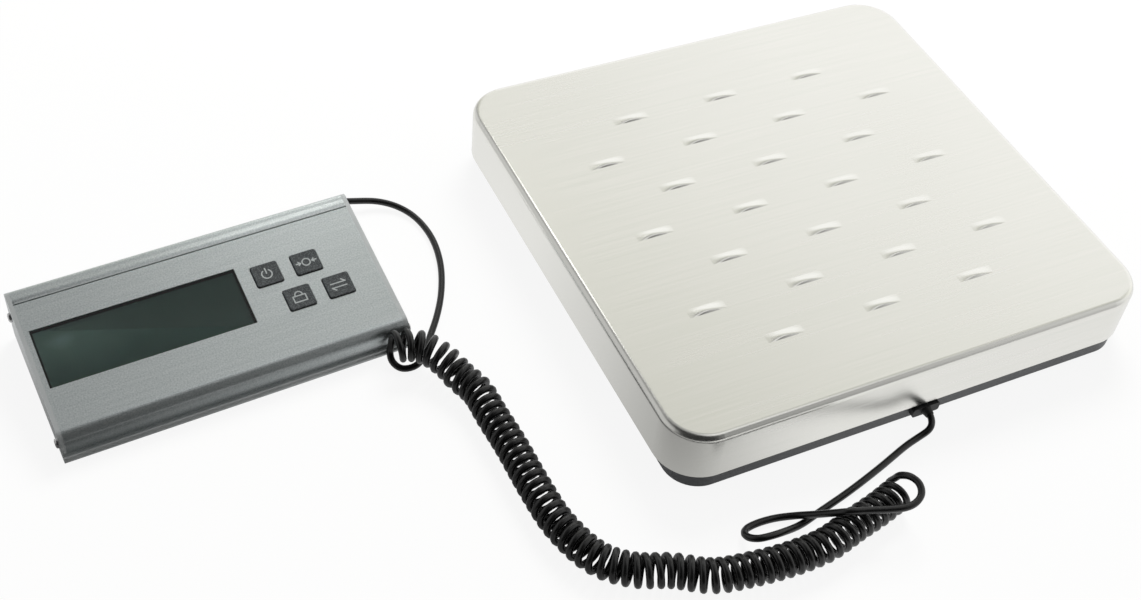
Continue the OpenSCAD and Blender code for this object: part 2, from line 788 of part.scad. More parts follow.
// A closed tube of triangles round the points p; its rings stand on the directions n
module tube(p, t, n, r, sides) {
    rings = len(p);
    points = [for (i = [0:rings - 1], k = [0:sides - 1])
        let (a = 360 * (k + 0.5) / sides) p[i] + r * (cos(a) * n[i] + sin(a) * cross(t[i], n[i]))];
    skin = [for (i = [0:rings - 2], k = [0:sides - 1], half = [0, 1])
        let (a = i * sides + k, b = i * sides + (k + 1) % sides)
        half == 0 ? [a, b + sides, b] : [a, a + sides, b + sides]];
    last = (rings - 1) * sides;
    ends = [for (k = [1:sides - 2], end = [0, 1])
        end == 0 ? [0, k, k + 1] : [last, last + k + 1, last + k]];
    polyhedron(points = points, faces = concat(skin, ends), convexity = 10);
}

// A free stretch of cord, exactly straight at both ends
module lead(route, first) {
    q = spline(route, 2);
    p = [for (i = [0:len(q) - 1]) if (i != 1 && i != len(q) - 2) q[i]];
    t = tangents(p);
    color([0.05, 0.05, 0.05]) tube(p, t, carried(t, first), cord_d / 2, 8);
}

// The curly stretch: its middle line, from the display's front corner to the platform's front
coil_route = [for (p = [
    [-258.6, -6.8, 16.9], [-248.5, -9.1, 16.5], [-239.9, -15.3, 14.9], [-233.4, -26, 12.6],
    [-230.4, -34.8, 10.9], [-225.1, -48.7, 10.2], [-224.1, -66.7, 9.7], [-222.6, -90, 9.7],
    [-222, -119.1, 9.7], [-219.8, -145.8, 9.7], [-211.4, -170.4, 9.7], [-196.9, -184.8, 9.7],
    [-177.7, -193.3, 9.7], [-160.6, -203.5, 9.7], [-140.1, -207.8, 9.7], [-117.9, -210, 9.7],
    [-96.1, -209.4, 9.7], [-76.1, -204.5, 9.7], [-58.1, -200.4, 9.7], [-41.1, -195.2, 9.7]]) p + cord_origin];
coil_line = spline(coil_route, 6);
coil_tangents = tangents(coil_line);
coil_steps = [for (i = [1:len(coil_line) - 1]) norm(coil_line[i] - coil_line[i - 1])];
coil_at = [for (i = 0, s = 0; i < len(coil_line); s = s + (i < len(coil_steps) ? coil_steps[i] : 0), i = i + 1) s];
coil_l = coil_at[len(coil_at) - 1];
coil_tables = [for (k = [0:2]) [for (i = [0:len(coil_at) - 1]) [coil_at[i], coil_line[i][k]]]];
turn_tables = [for (k = [0:2]) [for (i = [0:len(coil_at) - 1]) [coil_at[i], coil_tangents[i][k]]]];
function on_coil(s, tables) = [for (k = [0:2]) lookup(s, tables[k])];

// The curls start low on the side away from the user and climb over the top;
// one more ring than whole curls, so that the cord leaves upwards
curl_rings = 8;
curl_first = 200;
curl_last = curls * curl_rings + 1;
// The first curls, where the coil comes down from the display, are pulled a little open
curl_open = 0.18;
curl_open_rings = 12 * curl_rings;
function curl_opening(i) = max(0, 1 - i / curl_open_rings);
function curl_share(i) = i + curl_open * curl_open_rings / 2 * (1 - pow(curl_opening(i), 2));
function curl_s(i) = coil_l * curl_share(i) / curl_share(curl_last);
function curl_pitch(i) = coil_l * curl_rings / curl_share(curl_last) * (1 + curl_open * curl_opening(i));
function curl_angle(i) = curl_first - 360 * i / curl_rings;
function curl_along(i) = unit(on_coil(curl_s(i), turn_tables));
function curl_side(i) = unit(cross(curl_along(i), [0, 0, 1]));
function curl_up(i) = cross(curl_side(i), curl_along(i));
function curl_radial(i) = cos(curl_angle(i)) * curl_side(i) + sin(curl_angle(i)) * curl_up(i);
// The cord's own direction in a curl
function curl_way(i) = unit(curl_pitch(i) * curl_along(i)
    + 2 * PI * curl_r * (sin(curl_angle(i)) * curl_side(i) - cos(curl_angle(i)) * curl_up(i)));
curl_points = [for (i = [0:curl_last]) on_coil(curl_s(i), coil_tables) + curl_r * curl_radial(i)];
// Straight ends, one cord diameter long, where the leads meet the curls
coil_in = curl_way(0);
coil_out = curl_way(curl_last);
coil_start = curl_points[0] - cord_d * coil_in;
coil_end = curl_points[curl_last] + cord_d * coil_out;

curl_gap = min([for (i = [0:curl_last - curl_rings - 2], k = [curl_rings - 2:curl_rings + 2])
    norm(curl_points[i + k] - curl_points[i])]) - cord_d;
echo(least_gap_between_curls = curl_gap, length_of_coil = coil_l);

module cord_curly() {
    p = concat([coil_start], curl_points, [coil_end]);
    t = tangents(p);
    n = [for (i = [0:len(p) - 1]) square_to(curl_radial(max(0, min(i - 1, curl_last))), t[i])];
    color([0.05, 0.05, 0.05]) tube(p, t, n, cord_d / 2, 6);
}

// From the display's gland, round on the floor and up into the curls from below
display_cord_out = from_unit([unit_gland_x, unit_back + unit_gland_tail_l, unit_gland_z]);
display_route = concat(
    [display_cord_out, display_cord_out + cord_d * turned([0, 1, 0])],
    [for (p = [
        [-265.6, 118.4, 12.4], [-251.6, 122.7, 9.6], [-236, 121, 7], [-222.5, 118, 5],
        [-211.3, 110.3, 3.2], [-203.9, 97.2, 2.1], [-201.6, 77.4, 2.1], [-205.3, 55.1, 2.1],
        [-213.8, 33.5, 2.1], [-223.8, 16.4, 2.1], [-232.7, 4.2, 2.1], [-239.1, -6, 2.4],
        [-247.2, -12.7, 2.5], [-255.4, -11.7, 2.1], [-259.1, -6.3, 3.5]]) p + cord_origin],
    [coil_start - cord_d * coil_in, coil_start]);

module cord_display_lead() {
    lead(display_route, [0, 0, 1]);
}

// Up from the last curl, back over the coil, round a hairpin and across to the platform's gland
platform_cord_in = [platform_x + gland_x, platform_y - tray_d / 2 - gland_out, gland_z];
platform_route = concat(
    [coil_end, coil_end + cord_d * coil_out],
    [for (p = [
        [-38.9, -196.4, 23.9], [-37.2, -202.2, 24.3], [-39, -207.7, 23.3], [-44, -211, 22.4],
        [-51, -211.7, 22.1], [-60.2, -209.3, 22], [-71.9, -205.2, 22], [-80.5, -202.3, 21.6],
        [-85.9, -197.1, 16.4], [-91.6, -190.6, 9.6], [-98.2, -184.8, 4.4], [-107.5, -181, 2.3],
        [-115.8, -179.9, 2.1], [-122.9, -180.1, 2.2], [-127.5, -181.5, 2.9], [-130.3, -184.8, 4.8],
        [-130.3, -188.8, 7.1], [-127.5, -192.1, 9.1], [-122.9, -193.5, 9.8], [-113.3, -193.2, 8.2],
        [-98.8, -189.8, 2.6], [-84.1, -186, 2.1],
        [-63, -180.8, 2.1], [-38, -173.3, 2.1], [-17, -166.2, 2.1], [-6.5, -163.9, 3],
        [0.4, -163, 5.2], [4, -160.4, 6.8]]) p + cord_origin],
    [platform_cord_in - [0, cord_d, 0], platform_cord_in]);

module cord_platform_lead() {
    lead(platform_route, [0, 1, 0]);
}

platform_cover();
platform_deck();
base_tray();
load_cell(0);  // load_cell_back_right
load_cell(1);  // load_cell_back_left
load_cell(2);  // load_cell_front_left
load_cell(3);  // load_cell_front_right
load_cell_screws();
foot(0);  // foot_back_right
foot(1);  // foot_back_left
foot(2);  // foot_front_left
foot(3);  // foot_front_right
junction_board();
junction_screws();
base_gland();
display_housing();
end_cap(-1);  // end_cap_left
end_cap(1);  // end_cap_right
end_cap_screws();
display_base();
display_base_screws();
display_foot(0);  // display_foot_back_right
display_foot(1);  // display_foot_back_left
display_foot(2);  // display_foot_front_left
display_foot(3);  // display_foot_front_right
battery_door();
battery(0);  // battery_1
battery(1);  // battery_2
battery(2);  // battery_3
battery(3);  // battery_4
battery_contacts();
display_board();
display_board_screws();
lcd_module();
lcd_window();
key(0);  // key_power
key(1);  // key_zero
key(2);  // key_hold
key(3);  // key_unit
key_domes();
display_gland();
cord_display_lead();
cord_curly();
cord_platform_lead();
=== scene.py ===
import json
import math

import bmesh
import bpy
from mathutils import Euler, Matrix, Vector


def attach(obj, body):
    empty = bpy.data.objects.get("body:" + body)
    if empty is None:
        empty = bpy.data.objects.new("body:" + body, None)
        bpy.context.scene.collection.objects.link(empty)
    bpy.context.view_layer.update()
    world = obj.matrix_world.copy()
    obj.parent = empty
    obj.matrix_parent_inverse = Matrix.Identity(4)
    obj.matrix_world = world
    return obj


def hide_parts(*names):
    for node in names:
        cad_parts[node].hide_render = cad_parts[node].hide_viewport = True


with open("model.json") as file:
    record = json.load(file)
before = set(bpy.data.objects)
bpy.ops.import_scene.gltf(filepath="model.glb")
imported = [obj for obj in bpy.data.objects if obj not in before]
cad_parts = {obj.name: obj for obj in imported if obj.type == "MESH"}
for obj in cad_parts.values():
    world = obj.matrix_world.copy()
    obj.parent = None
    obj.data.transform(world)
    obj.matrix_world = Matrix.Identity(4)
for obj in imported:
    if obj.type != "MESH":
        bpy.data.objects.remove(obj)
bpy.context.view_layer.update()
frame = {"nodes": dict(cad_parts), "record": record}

mm = 0.001
nodes = frame["nodes"]


def link(thing):
    bpy.context.scene.collection.objects.link(thing)
    return thing


def linear(colour):
    # "#rrggbb" as sRGB, to the linear colour that a shader takes
    parts = [int(colour[i:i + 2], 16) / 255 for i in (1, 3, 5)]
    return [p / 12.92 if p <= 0.04045 else ((p + 0.055) / 1.055) ** 2.4 for p in parts] + [1]


def put(tree, kind, inputs=None, stops=None, **settings):
    # Adds one node: settings are its properties, inputs are numbers, colours or sockets to link
    made = tree.nodes.new(kind)
    for name, value in settings.items():
        setattr(made, name, value)
    for socket, value in (inputs or {}).items():
        if isinstance(value, bpy.types.NodeSocket):
            tree.links.new(value, made.inputs[socket])
        elif isinstance(value, str):
            made.inputs[socket].default_value = linear(value)
        else:
            made.inputs[socket].default_value = value
    if stops:
        # stops that are missing are added in the middle, and each then gets its own place
        while len(made.color_ramp.elements) < len(stops):
            made.color_ramp.elements.new(0.5)
        for element, (place, colour) in zip(made.color_ramp.elements, stops):
            element.position = place
            element.color = linear(colour) if isinstance(colour, str) else (colour, colour, colour, 1)
    return made


def newMaterial(name):
    material = bpy.data.materials.new(name)
    material.use_nodes = True
    tree = material.node_tree
    tree.nodes.clear()
    return material, tree


print("stage 1: camera and floor")
# In front on the left, looking down 47 degrees and leaning over by 6, as in the photo
cameraPlace = {"at": (-312.46, -554.63, 689.73), "turn": (42.7937, -4.2385, -24.9504), "lens": 50.054}
camera = link(bpy.data.objects.new("camera", bpy.data.cameras.new("camera")))
camera.location = Vector(cameraPlace["at"]) * mm
camera.rotation_euler = Euler([math.radians(a) for a in cameraPlace["turn"]])
camera.data.lens = cameraPlace["lens"]
camera.data.sensor_width = 36
bpy.context.scene.camera = camera
bpy.context.scene.view_settings.view_transform = "Standard"

# The paper shines by a share, which keeps it white to the eye, and the rest of it takes the shadows.
# Reflections see it at the mirrored level, and darker in front of the display unit and of the
# platform's near corner, where they stand in their own shadow, and towards the dark front left of
# the room. Places and distances are in metres, and squeeze makes a shade narrower along an axis
paperParts = {
    "reach": 6, "shining": 0.9, "mirrored": 0.95,
    "shades": [{"at": (-0.31, -0.06, 0), "squeeze": (1, 2, 1), "near": 0.02, "far": 0.4, "least": 0.07},
               {"at": (-0.06, -0.18, 0), "squeeze": (1, 1, 1), "near": 0.03, "far": 0.17, "least": 0.45},
               {"at": (-1, -1.1, 0), "squeeze": (1, 1, 1), "near": 1, "far": 1.3, "least": 0.15}],
}


def makeFloor():
    # White paper sweep, with a faint shadow kept under the object
    material, tree = newMaterial("whitePaper")
    seen = put(tree, "ShaderNodeLightPath").outputs
    straight = put(tree, "ShaderNodeMath", {0: seen["Is Camera Ray"], 1: seen["Is Transmission Ray"]},
                   operation="MAXIMUM").outputs[0]
    share = put(tree, "ShaderNodeMath", {0: straight, 1: paperParts["shining"]},
                operation="MULTIPLY").outputs[0]
    paper = put(tree, "ShaderNodeBsdfDiffuse", {"Color": "#f4f4f2", "Roughness": 0.5}).outputs[0]
    white = put(tree, "ShaderNodeEmission", {"Color": (1, 1, 1, 1), "Strength": 1.0}).outputs[0]
    eye = put(tree, "ShaderNodeMixShader", {0: share, 1: paper, 2: white}).outputs[0]
    place = put(tree, "ShaderNodeTexCoord").outputs["Object"]
    level = paperParts["mirrored"]
    for shade in paperParts["shades"]:
        away = put(tree, "ShaderNodeVectorMath", {0: place, 1: shade["at"]},
                   operation="SUBTRACT").outputs[0]
        away = put(tree, "ShaderNodeVectorMath", {0: away, 1: shade["squeeze"]},
                   operation="MULTIPLY").outputs[0]
        away = put(tree, "ShaderNodeVectorMath", {0: away}, operation="LENGTH").outputs["Value"]
        fade = put(tree, "ShaderNodeMapRange", {
            "Value": away, "From Min": shade["near"], "From Max": shade["far"],
            "To Min": shade["least"]}, interpolation_type="SMOOTHSTEP").outputs[0]
        level = put(tree, "ShaderNodeMath", {0: level, 1: fade}, operation="MULTIPLY").outputs[0]
    mirrored = put(tree, "ShaderNodeEmission", {"Color": (1, 1, 1, 1), "Strength": level}).outputs[0]
    both = put(tree, "ShaderNodeMixShader", {0: seen["Is Glossy Ray"], 1: eye, 2: mirrored}).outputs[0]
    put(tree, "ShaderNodeOutputMaterial", {"Surface": both})
    reach = paperParts["reach"]
    corners = [(-reach, -reach, 0), (reach, -reach, 0), (reach, reach, 0), (-reach, reach, 0)]
    mesh = bpy.data.meshes.new("floor")
    mesh.from_pydata(corners, [], [(0, 1, 2, 3)])
    mesh.materials.append(material)
    floor = link(bpy.data.objects.new("floor", mesh))


makeFloor()

print("stage 2: cord")
# The same routes as the CAD tubes, in millimetres from the middle of the platform's foot. The
# first curls are pulled apart by the share called opening, and the length is in metres
cordParts = {
    "diameter": 4.0, "curlRadius": 7.5, "curls": 64, "firstAngle": 200, "ringsPerCurl": 24,
    "ringsBeyond": 3, "opening": 0.18, "openCurls": 12, "origin": (147.2, 0.75, 0), "length": 3.57,
    "coilSteps": 6, "leadSteps": 8, "displayEasing": 6, "platformEasing": 4,
}
coilRoute = [
    (-258.6, -6.8, 16.9), (-248.5, -9.1, 16.5), (-239.9, -15.3, 14.9), (-233.4, -26, 12.6),
    (-230.4, -34.8, 10.9), (-225.1, -48.7, 10.2), (-224.1, -66.7, 9.7), (-222.6, -90, 9.7),
    (-222, -119.1, 9.7), (-219.8, -145.8, 9.7), (-211.4, -170.4, 9.7), (-196.9, -184.8, 9.7),
    (-177.7, -193.3, 9.7), (-160.6, -203.5, 9.7), (-140.1, -207.8, 9.7), (-117.9, -210, 9.7),
    (-96.1, -209.4, 9.7), (-76.1, -204.5, 9.7), (-58.1, -200.4, 9.7), (-41.1, -195.2, 9.7)]
displayRoute = [
    (-265.6, 118.4, 12.4), (-251.6, 122.7, 9.6), (-236, 121, 7), (-222.5, 118, 5),
    (-211.3, 110.3, 3.2), (-203.9, 97.2, 2.1), (-201.6, 77.4, 2.1), (-205.3, 55.1, 2.1),
    (-213.8, 33.5, 2.1), (-223.8, 16.4, 2.1), (-232.7, 4.2, 2.1), (-239.1, -6, 2.4),
    (-247.2, -12.7, 2.5), (-255.4, -11.7, 2.1), (-259.1, -6.3, 3.5)]
platformRoute = [
    (-38.9, -196.4, 23.9), (-37.2, -202.2, 24.3), (-39, -207.7, 23.3), (-44, -211, 22.4),
    (-51, -211.7, 22.1), (-60.2, -209.3, 22), (-71.9, -205.2, 22), (-80.5, -202.3, 21.6),
    (-85.9, -197.1, 16.4), (-91.6, -190.6, 9.6), (-98.2, -184.8, 4.4), (-107.5, -181, 2.3),
    (-115.8, -179.9, 2.1), (-122.9, -180.1, 2.2), (-127.5, -181.5, 2.9), (-130.3, -184.8, 4.8),
    (-130.3, -188.8, 7.1), (-127.5, -192.1, 9.1), (-122.9, -193.5, 9.8), (-113.3, -193.2, 8.2),
    (-98.8, -189.8, 2.6), (-84.1, -186, 2.1), (-63, -180.8, 2.1), (-38, -173.3, 2.1),
    (-17, -166.2, 2.1), (-6.5, -163.9, 3), (0.4, -163, 5.2), (4, -160.4, 6.8)]
# The display unit stands turned a little on the floor; its face falls to the front
displayParts = {
    "at": (-199, 46.25, 0), "turn": 3, "back": 50.25, "faceHeight": 38, "slope": 11,
    "gland": (80.05, 50.25, 13.5), "glandTail": 8,
}
unitFrame = (Matrix.Translation(Vector(displayParts["at"]) * mm)
             @ Matrix.Rotation(math.radians(displayParts["turn"]), 4, "Z"))
faceTop = Vector((0, displayParts["back"], displayParts["faceHeight"]))
faceFrame = (unitFrame @ Matrix.Translation(faceTop * mm)
             @ Matrix.Rotation(math.radians(displayParts["slope"]), 4, "X"))
platformGland = Vector((153.2, -150.75, 7.35))


def spline(points, steps):
    # A smooth line through all the points, with this many steps to each stretch
    ends = [2 * points[0] - points[1], *points, 2 * points[-1] - points[-2]]
    line = []
    for a, b, c, d in zip(ends, ends[1:], ends[2:], ends[3:]):
        for k in range(steps):
            t = k / steps
            line.append(0.5 * (2 * b + (c - a) * t + (2 * a - 5 * b + 4 * c - d) * t * t
                               + (3 * b - a - 3 * c + d) * t ** 3))
    return line + [points[-1]]


def eased(points, rounds):
    # Sheds the last kinks of a route; the two points at each end stay
    for _ in range(rounds):
        middles = [(a + 2 * b + c) / 4 for a, b, c in zip(points[1:], points[2:], points[3:])]
        points = points[:2] + middles[:-1] + points[-2:]
    return points


def makeCord():
    d = cordParts["diameter"]
    origin = Vector(cordParts["origin"])
    line = spline([Vector(p) + origin for p in coilRoute], cordParts["coilSteps"])
    far = len(line) - 1
    way = [(line[min(i + 1, far)] - line[max(i - 1, 0)]).normalized() for i in range(far + 1)]
    at = [0]
    for a, b in zip(line, line[1:]):
        at.append(at[-1] + (b - a).length)

    def onCoil(s, values):
        i = max(k for k in range(len(at) - 1) if at[k] <= s)
        return values[i].lerp(values[i + 1], (s - at[i]) / (at[i + 1] - at[i]))

    # The curls start low on the side away from the user, and turn three rings beyond a whole number
    count = cordParts["curls"] * cordParts["ringsPerCurl"] + cordParts["ringsBeyond"]
    openRings = cordParts["openCurls"] * cordParts["ringsPerCurl"]

    def share(i):
        # How far along the coil ring i is; the first curls are pulled a little open
        return i + cordParts["opening"] * openRings / 2 * (1 - max(0, 1 - i / openRings) ** 2)

    curls, ways = [], []
    for i in range(count + 1):
        s = at[-1] * share(i) / share(count)
        pitch = at[-1] * cordParts["ringsPerCurl"] / share(count) * (
            1 + cordParts["opening"] * max(0, 1 - i / openRings))
        angle = math.radians(cordParts["firstAngle"] - 360 * i / cordParts["ringsPerCurl"])
        along = onCoil(s, way).normalized()
        side = along.cross(Vector((0, 0, 1))).normalized()
        up = side.cross(along)
        outward = math.cos(angle) * side + math.sin(angle) * up
        forward = math.sin(angle) * side - math.cos(angle) * up
        curls.append(onCoil(s, line) + cordParts["curlRadius"] * outward)
        ways.append((pitch * along + 2 * math.pi * cordParts["curlRadius"] * forward).normalized())
    start, end = curls[0] - d * ways[0], curls[-1] + d * ways[-1]

    gland = Vector(displayParts["gland"])
    displayOut = unitFrame @ ((gland + Vector((0, displayParts["glandTail"], 0))) * mm) / mm
    backward = unitFrame.to_3x3() @ Vector((0, 1, 0))
    first = [displayOut, displayOut + d * backward,
             *[Vector(p) + origin for p in displayRoute], start - d * ways[0], start]
    last = [end, end + d * ways[-1], *[Vector(p) + origin for p in platformRoute],
            platformGland - Vector((0, d, 0)), platformGland]
    displayLead = eased(spline(first, cordParts["leadSteps"]), cordParts["displayEasing"])
    platformLead = eased(spline(last, cordParts["leadSteps"]), cordParts["platformEasing"])
    points = displayLead[:-1] + [start] + curls + platformLead

    curve = bpy.data.curves.new("curlyCord", "CURVE")
    curve.dimensions = "3D"
    # the points carry the thickness, as a curve's box reaches as far as their radius
    curve.bevel_depth = 1
    curve.bevel_resolution = 3
    curve.use_fill_caps = True
    wire = curve.splines.new("POLY")
    wire.points.add(len(points) - 1)
    for place, p in zip(wire.points, points):
        place.co = (*(p * mm), 1)
        place.radius = d / 2 * mm
    cord = link(bpy.data.objects.new("curlyCord", curve))
    length = sum((b - a).length for a, b in zip(points, points[1:])) * mm
    print("  cord length", round(length, 3), "m, exit", [round(v, 2) for v in displayOut])
    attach(cord, "base")
    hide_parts("cord_display_lead", "cord_curly", "cord_platform_lead")
    return cord


cord = makeCord()

print("stage 3: materials")


def finishMaterial(tree, **inputs):
    # One Principled shader; the words here stand for its sockets
    named = {"baseColour": "Base Color", "metallic": "Metallic", "roughness": "Roughness", "ior": "IOR",
             "normal": "Normal", "transmission": "Transmission Weight", "coat": "Coat Weight",
             "specular": "Specular IOR Level"}
    shader = put(tree, "ShaderNodeBsdfPrincipled", {named[k]: v for k, v in inputs.items()}).outputs[0]
    put(tree, "ShaderNodeOutputMaterial", {"Surface": shader})


def inFrame(tree, frameMatrix):
    # Object coordinates, read in the axes of a frame that is turned on the floor
    place = put(tree, "ShaderNodeTexCoord").outputs["Object"]
    back = frameMatrix.inverted()
    return put(tree, "ShaderNodeMapping", {
        "Vector": place, "Location": back.translation[:], "Rotation": back.to_euler()[:]}).outputs[0]


def brushedSteel():
    # Brushed stainless steel sheet: a pale warm grey, with fine straight lines and a soft sheen
    material, tree = newMaterial("brushedSteel")
    place = put(tree, "ShaderNodeTexCoord").outputs["Object"]
    # real lines are 0.1 mm apart, too fine to show: they are drawn 1.4 mm apart and 80 mm long
    stretched = put(tree, "ShaderNodeMapping", {"Vector": place, "Scale": (12, 700, 700)}).outputs[0]
    lines = put(tree, "ShaderNodeTexNoise", {"Vector": stretched, "Scale": 1, "Detail": 3}).outputs[0]
    cloud = put(tree, "ShaderNodeTexNoise", {"Vector": place, "Scale": 7, "Detail": 2}).outputs[0]
    tone = put(tree, "ShaderNodeValToRGB", {0: lines},
               stops=[(0.3, "#e5e5df"), (0.7, "#eae9e4")]).outputs[0]
    gloss = put(tree, "ShaderNodeMath", {0: lines, 1: 0.08, 2: 0.17},
                operation="MULTIPLY_ADD").outputs[0]
    gloss = put(tree, "ShaderNodeMath", {0: cloud, 1: 0.08, 2: gloss},
                operation="MULTIPLY_ADD").outputs[0]
    relief = put(tree, "ShaderNodeBump", {
        "Height": lines, "Strength": 0.05, "Distance": 0.0001}).outputs[0]
    finishMaterial(tree, baseColour=tone, metallic=1, roughness=gloss, normal=relief)
    return material


def anodisedAluminium():
    # Bead-blasted and anodised aluminium: a cool silver grey under a fine sparkle, satin all over
    material, tree = newMaterial("anodisedAluminium")
    place = inFrame(tree, faceFrame)
    # faint lines from the extrusion die run along it; they are drawn 2 mm apart
    drawn = put(tree, "ShaderNodeMapping", {"Vector": place, "Scale": (15, 500, 500)}).outputs[0]
    lines = put(tree, "ShaderNodeTexNoise", {"Vector": drawn, "Scale": 1, "Detail": 3}).outputs[0]
    # beads leave dimples 0.1 mm wide; they are drawn at 0.9 mm
    grain = put(tree, "ShaderNodeTexNoise", {"Vector": place, "Scale": 1100, "Detail": 3}).outputs[0]
    both = put(tree, "ShaderNodeMath", {0: lines, 1: 0.3, 2: grain},
               operation="MULTIPLY_ADD").outputs[0]
    tone = put(tree, "ShaderNodeValToRGB", {0: both},
               stops=[(0.45, "#bfc7c7"), (0.85, "#dde2e2")]).outputs[0]
    gloss = put(tree, "ShaderNodeMath", {0: grain, 1: 0.1, 2: 0.29},
                operation="MULTIPLY_ADD").outputs[0]
    relief = put(tree, "ShaderNodeBump", {
        "Height": grain, "Strength": 0.25, "Distance": 0.0002}).outputs[0]
    finishMaterial(tree, baseColour=tone, metallic=1, roughness=gloss, normal=relief)
    return material


def mouldedPlastic(name, colour, darker, roughness, grit, metallic=0.0):
    # Moulded ABS with a spark-eroded skin: an even tone under a pebbled grain, its grit given in
    # millimetres. The ink of the keys' signs is printed with a soft pad and looks much the same
    material, tree = newMaterial(name)
    place = put(tree, "ShaderNodeTexCoord").outputs["Object"]
    pebbles = put(tree, "ShaderNodeTexVoronoi", {
        "Vector": place, "Scale": 1 / (grit * mm)}).outputs["Distance"]
    cloud = put(tree, "ShaderNodeTexNoise", {"Vector": place, "Scale": 60, "Detail": 3}).outputs[0]
    tone = put(tree, "ShaderNodeValToRGB", {0: cloud}, stops=[(0.3, darker), (0.7, colour)]).outputs[0]
    gloss = put(tree, "ShaderNodeMath", {0: pebbles, 1: 0.1, 2: roughness},
                operation="MULTIPLY_ADD").outputs[0]
    relief = put(tree, "ShaderNodeBump", {
        "Height": pebbles, "Strength": 0.2, "Distance": 0.00008}).outputs[0]
    finishMaterial(tree, baseColour=tone, metallic=metallic, roughness=gloss, normal=relief, ior=1.54)
    return material


def keySilicone():
    # Silicone keypad: charcoal, with a dotted matte skin that catches some light
    material, tree = newMaterial("keySilicone")
    place = inFrame(tree, faceFrame)
    # the dots of the skin are drawn 0.8 mm apart
    dots = put(tree, "ShaderNodeTexVoronoi", {"Vector": place, "Scale": 1250}).outputs["Distance"]
    tone = put(tree, "ShaderNodeValToRGB", {0: dots},
               stops=[(0.1, "#5c6061"), (0.6, "#36393a")]).outputs[0]
    relief = put(tree, "ShaderNodeBump", {
        "Height": dots, "Strength": 0.5, "Distance": 0.0002}).outputs[0]
    finishMaterial(tree, baseColour=tone, roughness=0.55, normal=relief, ior=1.43)
    return material


def rubber(name, colour, darker, roughness):
    # Moulded rubber or soft PVC: dull black with a slight bloom
    material, tree = newMaterial(name)
    place = put(tree, "ShaderNodeTexCoord").outputs["Object"]
    bloom = put(tree, "ShaderNodeTexNoise", {"Vector": place, "Scale": 180, "Detail": 4}).outputs[0]
    tone = put(tree, "ShaderNodeValToRGB", {0: bloom}, stops=[(0.35, darker), (0.7, colour)]).outputs[0]
    relief = put(tree, "ShaderNodeBump", {
        "Height": bloom, "Strength": 0.15, "Distance": 0.0001}).outputs[0]
    gloss = put(tree, "ShaderNodeMath", {0: bloom, 1: 0.15, 2: roughness},
                operation="MULTIPLY_ADD").outputs[0]
    finishMaterial(tree, baseColour=tone, roughness=gloss, normal=relief, ior=1.52)
    return material


def platedSteel(name, colour, darker):
    # Plated steel of screws and springs: bright, and a little uneven
    material, tree = newMaterial(name)
    place = put(tree, "ShaderNodeTexCoord").outputs["Object"]
    spots = put(tree, "ShaderNodeTexNoise", {"Vector": place, "Scale": 900, "Detail": 3}).outputs[0]
    tone = put(tree, "ShaderNodeValToRGB", {0: spots}, stops=[(0.3, darker), (0.7, colour)]).outputs[0]
    gloss = put(tree, "ShaderNodeMath", {0: spots, 1: 0.15, 2: 0.2},
                operation="MULTIPLY_ADD").outputs[0]
    finishMaterial(tree, baseColour=tone, metallic=1, roughness=gloss)
    return material


def windowAcrylic():
    # Cast acrylic with a hard coat: clear, faintly smoked, glossy
    material, tree = newMaterial("windowAcrylic")
    place = put(tree, "ShaderNodeTexCoord").outputs["Object"]
    wipe = put(tree, "ShaderNodeTexNoise", {"Vector": place, "Scale": 40, "Detail": 2}).outputs[0]
    gloss = put(tree, "ShaderNodeMath", {0: wipe, 1: 0.06, 2: 0.02},
                operation="MULTIPLY_ADD").outputs[0]
    finishMaterial(tree, baseColour="#dfe6e3", roughness=gloss, ior=1.49, transmission=1, specular=0.06)
    return material


# The glass seen through the window, in millimetres across the face and down it from its back edge.
# Its painted reflection, a paler patch, is measured from the middle of the glass, and is wider than it
# is deep
glassParts = {
    "middle": (-36.5, -48.6), "half": (57.5, 19), "border": 1.2, "borderBlur": 0.3,
    "paintedReflection": (-42, 9), "paintedReflectionReach": 62, "paintedReflectionSquash": 2,
}


